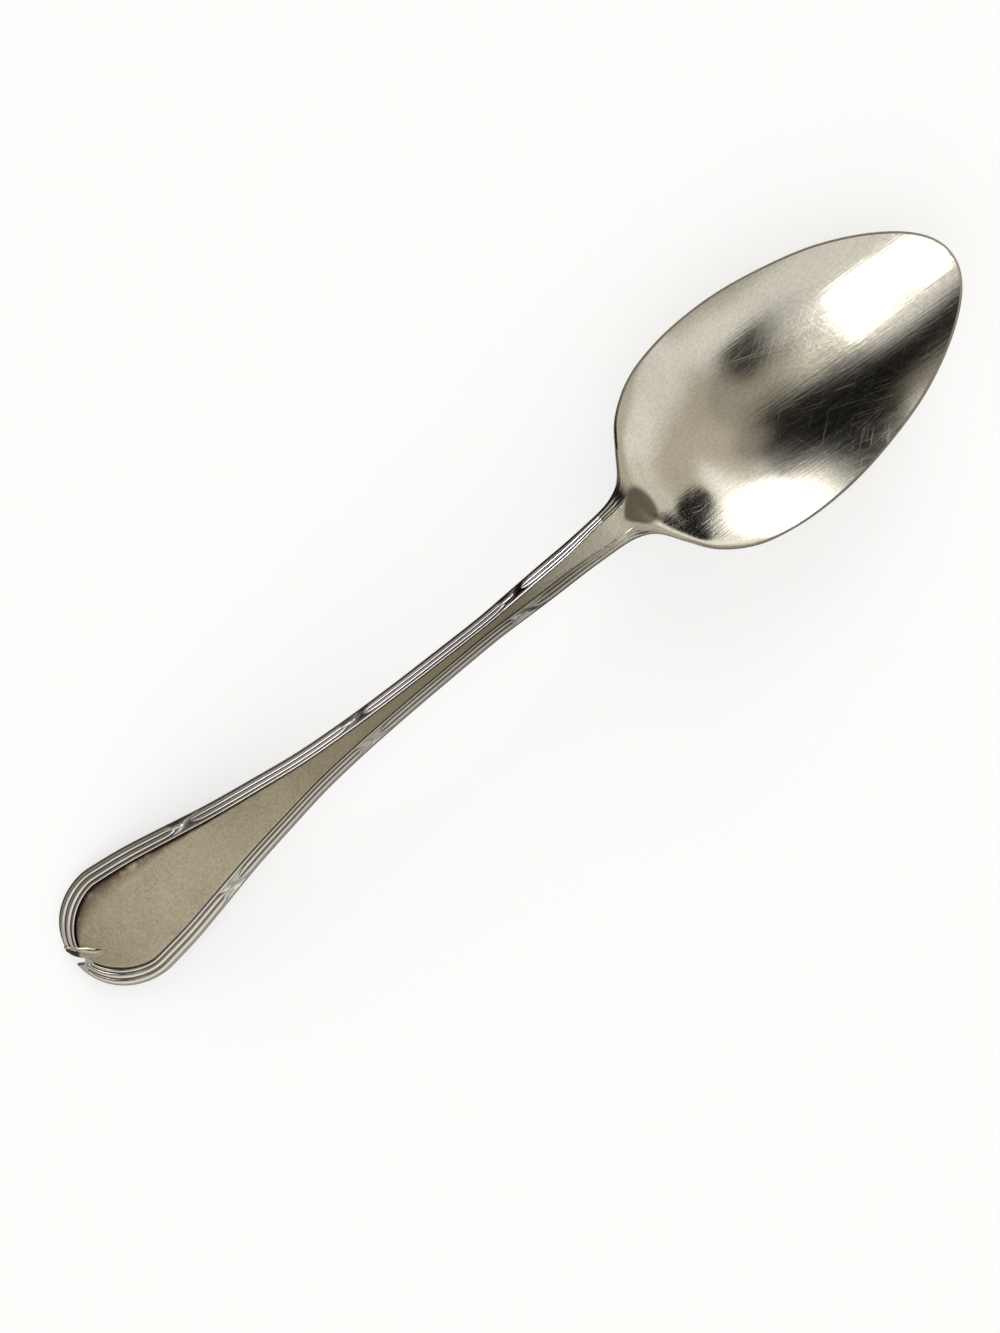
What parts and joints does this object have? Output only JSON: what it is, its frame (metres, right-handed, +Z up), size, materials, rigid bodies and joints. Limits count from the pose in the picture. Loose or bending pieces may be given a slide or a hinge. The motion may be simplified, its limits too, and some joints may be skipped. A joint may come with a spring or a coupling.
{
  "type": "soup spoon",
  "caption": "Soup spoon lying hollow up, with a pointed oval bowl, a slim arched stem and a broad rounded handle end edged by a raised crossed-reed border.",
  "frame": {"origin": "on the table, under the middle of the spoon's length and width", "axes": "+X along the spoon towards the bowl's tip, +Y to the spoon's left seen from the handle's end, +Z up out of the hollow"},
  "size_m": [0.205, 0.0416, 0.0159],
  "materials": {
    "bowl_metal": "polished, worn satin by fine scratches",
    "panel_metal": "fine lengthwise scratches, lightly tarnished",
    "reed_metal": "bright crests, dark grooves",
    "ribbon_metal": "bright, rubbed smooth"
  },
  "bodies": {
    "root": {"bowl": "bowl_metal", "neck": "bowl_metal", "handle_panel": "panel_metal", "tip_knot": "ribbon_metal", "left_reeds_end": "reed_metal", "left_ribbon_end": "ribbon_metal", "left_reeds_blade": "reed_metal", "left_ribbon_middle": "ribbon_metal", "left_reeds_stem": "reed_metal", "left_ribbon_neck": "ribbon_metal", "left_reeds_neck": "reed_metal", "right_reeds_end": "reed_metal", "right_ribbon_end": "ribbon_metal", "right_reeds_blade": "reed_metal", "right_ribbon_middle": "ribbon_metal", "right_reeds_stem": "reed_metal", "right_ribbon_neck": "ribbon_metal", "right_reeds_neck": "reed_metal"}
  },
  "joints": []
}
